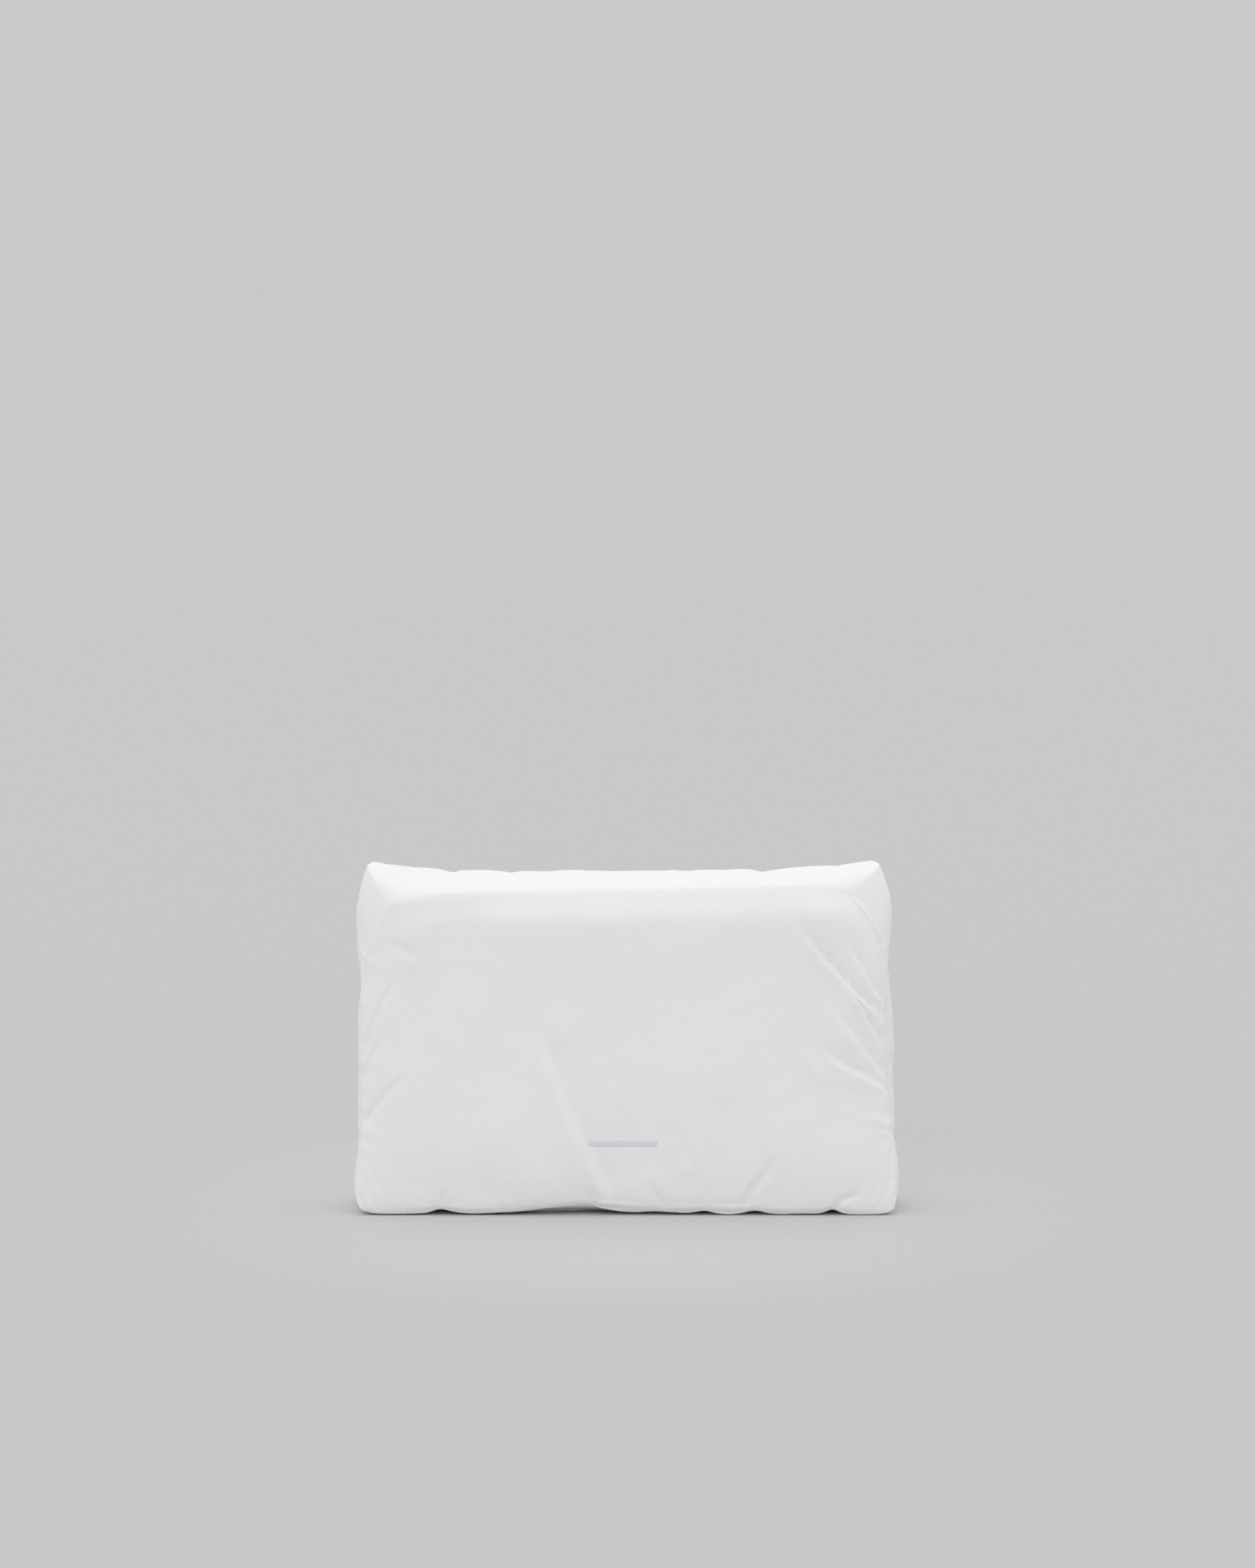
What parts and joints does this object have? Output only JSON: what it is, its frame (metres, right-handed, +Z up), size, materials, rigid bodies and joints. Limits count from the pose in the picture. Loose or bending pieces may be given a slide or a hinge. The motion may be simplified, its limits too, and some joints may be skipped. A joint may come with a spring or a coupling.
{
  "type": "camp pillow",
  "caption": "Boxed rectangular camping pillow: padded zip-off cover round a fibre-filled inner pillow, with a coil zip across the back.",
  "frame": {"origin": "on the floor under the middle of the pillow, which stands on its long edge", "axes": "+X to the right across the width, +Y from the front face to the zipped back, +Z up"},
  "size_m": [0.4, 0.1041, 0.26],
  "materials": {
    "cover_fabric": "matte, very fine plain weave",
    "casing_fabric": "matte, fine plain weave",
    "fibre": "loose fibre",
    "zip_tape": "matte, woven",
    "zip_coil": "satin, extruded",
    "stop_metal": "pressed",
    "slider_metal": "die cast, painted white",
    "print_ink": "flat, heat pressed",
    "label_ribbon": "satin ribbon"
  },
  "bodies": {
    "cover": {"cover_front_panel": "cover_fabric", "cover_back_upper_panel": "cover_fabric", "cover_back_lower_panel": "cover_fabric", "gusset_top": "cover_fabric", "gusset_bottom": "cover_fabric", "gusset_left": "cover_fabric", "gusset_right": "cover_fabric", "inner_casing_front": "casing_fabric", "inner_casing_back": "casing_fabric", "fibre_fill": "fibre", "print_mark": "print_ink", "care_label": "label_ribbon", "zip_tape_upper": "zip_tape", "zip_tape_lower": "zip_tape", "zip_coil_upper": "zip_coil", "zip_coil_lower": "zip_coil", "zip_top_stops": "stop_metal", "zip_bottom_stop": "stop_metal"},
    "zip_slider": {"zip_slider_body": "slider_metal", "zip_slider_crown": "slider_metal"},
    "zip_puller": {"zip_puller": "slider_metal"}
  },
  "joints": [
    {"name": "zip_slide", "type": "slide", "parent": "cover", "child": "zip_slider", "axis": [-1, 0, 0], "range_m": [0, 0.2725]},
    {"name": "puller_swing", "type": "hinge", "parent": "zip_slider", "child": "zip_puller", "pos_m": [0.13625, 0.0496, 0.076], "axis": [0, 0, -1], "range_deg": [0, 165]}
  ]
}
